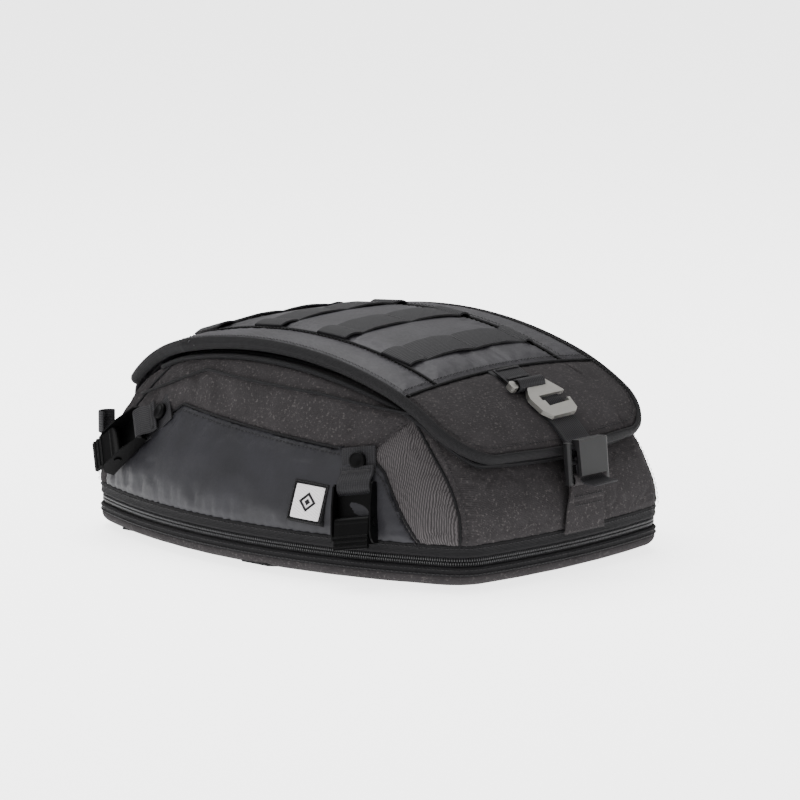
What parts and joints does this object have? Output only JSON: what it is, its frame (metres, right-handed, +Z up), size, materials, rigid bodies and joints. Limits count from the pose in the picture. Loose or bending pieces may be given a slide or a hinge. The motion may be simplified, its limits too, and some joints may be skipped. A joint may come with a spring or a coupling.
{
  "type": "motorcycle tail bag",
  "caption": "Low arched soft tail bag with a hooked over-flap, webbing rows on top, side cam buckles, and a zip round the base that lets the body rise.",
  "frame": {"origin": "centre of the footprint, on the surface the bag stands on", "axes": "+Y from the closure end to the hinge end along the longest extent, +Z up, +X to the right seen from the closure end"},
  "size_m": [0.289, 0.3797, 0.1532],
  "materials": {
    "canvas": "mottled woven canvas",
    "coated": "smooth coated cloth with a soft sheen",
    "twill": "ribbed twill",
    "webbing": "ribbed webbing",
    "binding": "matte binding tape",
    "zip": "coil teeth on tape",
    "lining": "plain lining cloth",
    "board": "stiff sheet",
    "grip": "matte anti-slip sheet",
    "black_metal": "gloss black coat",
    "alloy": "satin",
    "plastic": "fine-grained black plastic",
    "patch_edge": "woven black edge",
    "patch": "light woven label"
  },
  "bodies": {
    "base": {"antislip_pad": "grip", "bottom_panel": "canvas", "base_board": "board", "lower_band": "binding", "zipper_lower_half": "zip", "expansion_gusset": "lining", "under_tab_front_left": "webbing", "under_tab_front_right": "webbing", "under_tab_rear_left": "webbing", "under_tab_rear_right": "webbing"},
    "upper_body": {"zipper_upper_half": "zip", "upper_band": "binding", "front_panel": "canvas", "rear_panel": "canvas", "side_panel_left": "coated", "side_panel_right": "coated", "corner_panel_left": "twill", "corner_panel_right": "twill", "shoulder_panel_left": "canvas", "shoulder_panel_right": "canvas", "opening_rim": "lining", "hinge_strip": "canvas", "closure_anchor": "canvas", "closure_strap_lower": "webbing", "patch_backing": "patch_edge", "patch_plate": "patch", "rear_loop_left": "webbing", "rear_loop_right": "webbing", "cam_tab_fl": "webbing", "cam_tab_fr": "webbing", "cam_tab_rl": "webbing", "cam_tab_rr": "webbing", "snap_cap_fl": "black_metal", "snap_cap_fr": "black_metal", "snap_cap_rl": "black_metal", "snap_cap_rr": "black_metal"},
    "lid": {"inner_lid": "lining"},
    "flap": {"flap_front_panel": "canvas", "flap_middle_panel": "coated", "flap_side_left": "coated", "flap_side_right": "coated", "flap_binding": "binding", "closure_strap_upper": "webbing", "molle_strip_1": "webbing", "molle_strip_2": "webbing", "molle_strip_3": "webbing", "molle_strip_4": "webbing"},
    "hook": {"closure_hook": "alloy"},
    "ladder_lock": {"ladder_lock": "plastic"},
    "slider": {"zip_slider": "black_metal"},
    "puller": {"zip_puller": "black_metal"},
    "cam_fl": {"cam_frame_fl": "black_metal"},
    "lever_fl": {"cam_lever_fl": "black_metal"},
    "cam_fr": {"cam_frame_fr": "black_metal"},
    "lever_fr": {"cam_lever_fr": "black_metal"},
    "cam_rl": {"cam_frame_rl": "black_metal"},
    "lever_rl": {"cam_lever_rl": "black_metal"},
    "cam_rr": {"cam_frame_rr": "black_metal"},
    "lever_rr": {"cam_lever_rr": "black_metal"}
  },
  "joints": [
    {"name": "expand", "type": "slide", "parent": "base", "child": "upper_body", "axis": [0, 0, 1], "range_m": [0, 0.06], "deforming": ["expansion_gusset"]},
    {"name": "flap_hinge", "type": "hinge", "parent": "upper_body", "child": "flap", "pos_m": [0, 0.15732, 0.10275], "axis": [-1, 0, 0], "range_deg": [0, 120], "deforming": ["closure_strap_lower"]},
    {"name": "lid_hinge", "type": "hinge", "parent": "upper_body", "child": "lid", "pos_m": [0, 0.148, 0.09514], "axis": [-1, 0, 0], "range_deg": [0, 54]},
    {"name": "hook_swing", "type": "hinge", "parent": "flap", "child": "hook", "pos_m": [0.005, -0.13728, 0.12288], "axis": [-1, 0, 0], "range_deg": [0, 70]},
    {"name": "lock_tilt", "type": "hinge", "parent": "upper_body", "child": "ladder_lock", "pos_m": [0.005, -0.18445, 0.06526], "axis": [1, 0, 0], "range_deg": [0, 45]},
    {"name": "slider_travel", "type": "hinge", "parent": "base", "child": "slider", "pos_m": [0, -0.32, 0.0205], "axis": [0, 0, 1], "range_deg": [-8, 8]},
    {"name": "puller_swing", "type": "hinge", "parent": "slider", "child": "puller", "pos_m": [0, 0.186, 0.0205], "axis": [1, 0, 0], "range_deg": [-5, 95]},
    {"name": "cam_swing_fl", "type": "hinge", "parent": "upper_body", "child": "cam_fl", "pos_m": [-0.12205, -0.09382, 0.06474], "axis": [-0.3027, 0.9395, -0.1604], "range_deg": [0, 50]},
    {"name": "lever_press_fl", "type": "hinge", "parent": "cam_fl", "child": "lever_fl", "pos_m": [-0.13102, -0.1004, 0.0431], "axis": [0.3027, -0.9395, 0.1604], "range_deg": [0, 18], "stiffness_Nm_per_rad": 0.05, "springref_deg": -22.92},
    {"name": "cam_swing_fr", "type": "hinge", "parent": "upper_body", "child": "cam_fr", "pos_m": [0.12205, -0.09382, 0.06474], "axis": [-0.3027, -0.9395, 0.1604], "range_deg": [0, 50]},
    {"name": "lever_press_fr", "type": "hinge", "parent": "cam_fr", "child": "lever_fr", "pos_m": [0.13102, -0.1004, 0.0431], "axis": [0.3027, 0.9395, -0.1604], "range_deg": [0, 18], "stiffness_Nm_per_rad": 0.05, "springref_deg": -22.92},
    {"name": "cam_swing_rl", "type": "hinge", "parent": "upper_body", "child": "cam_rl", "pos_m": [-0.11235, 0.11305, 0.07828], "axis": [0.5091, 0.6161, 0.6011], "range_deg": [0, 50]},
    {"name": "lever_press_rl", "type": "hinge", "parent": "cam_rl", "child": "lever_rl", "pos_m": [-0.11732, 0.13166, 0.06341], "axis": [-0.5091, -0.6161, -0.6011], "range_deg": [0, 18], "stiffness_Nm_per_rad": 0.05, "springref_deg": -22.92},
    {"name": "cam_swing_rr", "type": "hinge", "parent": "upper_body", "child": "cam_rr", "pos_m": [0.11235, 0.11305, 0.07828], "axis": [0.5091, -0.6161, -0.6011], "range_deg": [0, 50]},
    {"name": "lever_press_rr", "type": "hinge", "parent": "cam_rr", "child": "lever_rr", "pos_m": [0.11732, 0.13166, 0.06341], "axis": [-0.5091, 0.6161, 0.6011], "range_deg": [0, 18], "stiffness_Nm_per_rad": 0.05, "springref_deg": -22.92}
  ],
  "couplings": [
    {"joint": "lid_hinge", "follows": "flap_hinge", "ratio": 0.45}
  ]
}
